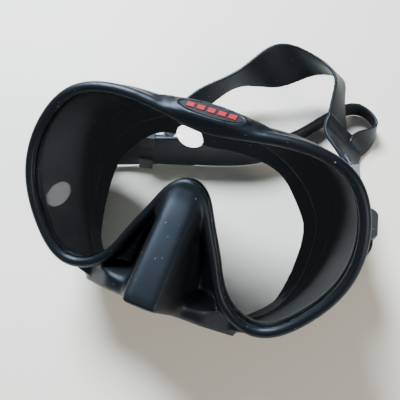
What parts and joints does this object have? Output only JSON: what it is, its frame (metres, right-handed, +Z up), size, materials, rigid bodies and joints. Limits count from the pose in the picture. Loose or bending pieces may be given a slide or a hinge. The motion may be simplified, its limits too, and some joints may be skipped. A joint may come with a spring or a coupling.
{
  "type": "diving mask",
  "caption": "Single-lens frameless diving mask: flat glass in a soft skirt with a nose pocket, split head strap on swivel buckles with release levers.",
  "frame": {"origin": "bottom centre of the bounding box, on the table it rests on", "axes": "+Z up from the table, +Y from the mask towards the strap behind it, +X to the right of someone facing the glass"},
  "size_m": [0.184, 0.209, 0.1077],
  "materials": {
    "silicone": "matte moulded silicone",
    "strap_silicone": "satin moulded silicone",
    "glass": "polished tempered glass",
    "insert_plastic": "moulded",
    "badge_plastic": "moulded",
    "mark_red": "printed",
    "buckle_plastic": "fine texture",
    "roller_plastic": "smooth",
    "steel": "brushed"
  },
  "bodies": {
    "mask": {"skirt": "silicone", "lens": "glass", "frame_insert": "insert_plastic", "badge": "badge_plastic", "badge_mark_1": "mark_red", "badge_mark_2": "mark_red", "badge_mark_3": "mark_red", "badge_mark_4": "mark_red", "badge_mark_5": "mark_red", "right_buckle_anchor": "insert_plastic", "right_swivel_stud": "steel", "right_stud_cap": "buckle_plastic", "left_buckle_anchor": "insert_plastic", "left_swivel_stud": "steel", "left_stud_cap": "buckle_plastic"},
    "strap": {"strap": "strap_silicone", "right_keeper": "buckle_plastic", "left_keeper": "buckle_plastic"},
    "right_buckle": {"right_buckle_body": "buckle_plastic", "right_roller_pin": "steel", "right_lever_pin": "steel", "right_upper_spring": "steel", "right_lower_spring": "steel"},
    "right_roller": {"right_roller": "roller_plastic"},
    "right_lever": {"right_release_lever": "buckle_plastic"},
    "left_buckle": {"left_buckle_body": "buckle_plastic", "left_roller_pin": "steel", "left_lever_pin": "steel", "left_upper_spring": "steel", "left_lower_spring": "steel"},
    "left_roller": {"left_roller": "roller_plastic"},
    "left_lever": {"left_release_lever": "buckle_plastic"}
  },
  "joints": [
    {"name": "strap_swing", "type": "hinge", "parent": "mask", "child": "strap", "pos_m": [0, -0.03941, 0.044], "axis": [1, 0, 0], "range_deg": [-25, 20]},
    {"name": "right_buckle_swivel", "type": "hinge", "parent": "mask", "child": "right_buckle", "pos_m": [0.07786, -0.03941, 0.044], "axis": [1, 0, 0], "range_deg": [-25, 20]},
    {"name": "right_roller_spin", "type": "hinge", "parent": "right_buckle", "child": "right_roller", "pos_m": [0.08326, -0.01968, 0.03682], "axis": [0, 0.342, 0.9397], "continuous": true},
    {"name": "right_lever_press", "type": "hinge", "parent": "right_buckle", "child": "right_lever", "pos_m": [0.08746, -0.02766, 0.03972], "axis": [0, -0.342, -0.9397], "range_deg": [0, 12], "stiffness_Nm_per_rad": 0.05, "springref_deg": -5.73},
    {"name": "left_buckle_swivel", "type": "hinge", "parent": "mask", "child": "left_buckle", "pos_m": [-0.07974, -0.03941, 0.044], "axis": [1, 0, 0], "range_deg": [-25, 20]},
    {"name": "left_roller_spin", "type": "hinge", "parent": "left_buckle", "child": "left_roller", "pos_m": [-0.08514, -0.02332, 0.0305], "axis": [0, -0.6428, -0.766], "continuous": true},
    {"name": "left_lever_press", "type": "hinge", "parent": "left_buckle", "child": "left_lever", "pos_m": [-0.08934, -0.02983, 0.03597], "axis": [0, 0.6428, 0.766], "range_deg": [0, 12], "stiffness_Nm_per_rad": 0.05, "springref_deg": -5.73}
  ],
  "couplings": [
    {"joint": "right_buckle_swivel", "follows": "strap_swing", "ratio": 1},
    {"joint": "left_buckle_swivel", "follows": "strap_swing", "ratio": 1}
  ]
}
